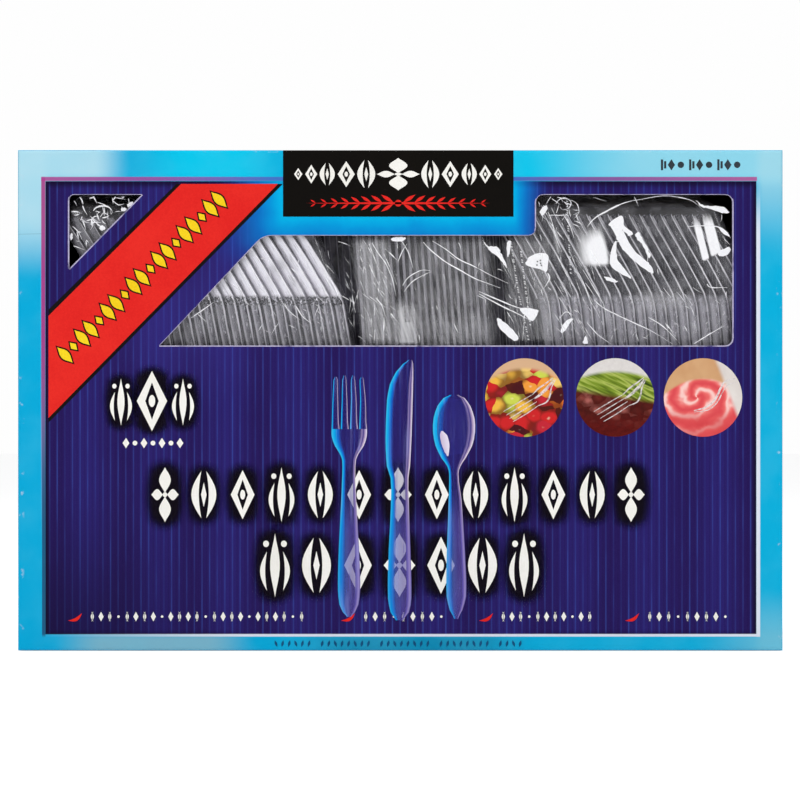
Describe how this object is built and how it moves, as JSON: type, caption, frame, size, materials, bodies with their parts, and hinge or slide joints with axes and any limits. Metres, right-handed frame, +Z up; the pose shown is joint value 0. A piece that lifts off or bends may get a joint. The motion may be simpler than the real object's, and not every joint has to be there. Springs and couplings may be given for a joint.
{
  "type": "plastic cutlery pack",
  "caption": "Printed window carton filled with film-wrapped packs of clear disposable forks, knives and spoons.",
  "frame": {"origin": "middle of the carton's bottom face", "axes": "+X to the right along the front panel, +Y from the front panel to the back, +Z up"},
  "size_m": [0.3178, 0.176, 0.208],
  "materials": {
    "printed_board": "gloss",
    "clear_plastic": "clear gloss",
    "clear_film": "clear gloss"
  },
  "bodies": {
    "root": {"carton": "printed_board", "left_fork_film": "clear_film", "knife_film": "clear_film", "right_fork_film": "clear_film", "fork_pack_03": "clear_film", "fork_pack_04": "clear_film", "fork_pack_05": "clear_film", "fork_pack_06": "clear_film", "fork_pack_07": "clear_film", "fork_pack_08": "clear_film", "fork_pack_09": "clear_film", "knife_pack_02": "clear_film", "knife_pack_03": "clear_film", "spoon_pack_01": "clear_film", "spoon_pack_02": "clear_film", "spoon_pack_03": "clear_film", "spoon_pack_04": "clear_film", "spoon_pack_05": "clear_film", "spoon_pack_06": "clear_film", "fork_01": "clear_plastic", "fork_02": "clear_plastic", "fork_03": "clear_plastic", "fork_04": "clear_plastic", "fork_05": "clear_plastic", "fork_06": "clear_plastic", "fork_07": "clear_plastic", "fork_08": "clear_plastic", "fork_09": "clear_plastic", "fork_10": "clear_plastic", "fork_11": "clear_plastic", "fork_12": "clear_plastic", "fork_13": "clear_plastic", "fork_14": "clear_plastic", "fork_15": "clear_plastic", "fork_16": "clear_plastic", "fork_17": "clear_plastic", "fork_18": "clear_plastic", "fork_19": "clear_plastic", "fork_20": "clear_plastic", "fork_21": "clear_plastic", "fork_22": "clear_plastic", "fork_23": "clear_plastic", "fork_24": "clear_plastic", "fork_25": "clear_plastic", "fork_26": "clear_plastic", "fork_27": "clear_plastic", "fork_28": "clear_plastic", "fork_29": "clear_plastic", "fork_30": "clear_plastic", "fork_31": "clear_plastic", "fork_32": "clear_plastic", "fork_33": "clear_plastic", "fork_34": "clear_plastic", "fork_35": "clear_plastic", "fork_36": "clear_plastic", "fork_37": "clear_plastic", "fork_38": "clear_plastic", "fork_39": "clear_plastic", "fork_40": "clear_plastic", "knives": "clear_plastic"}
  },
  "joints": []
}
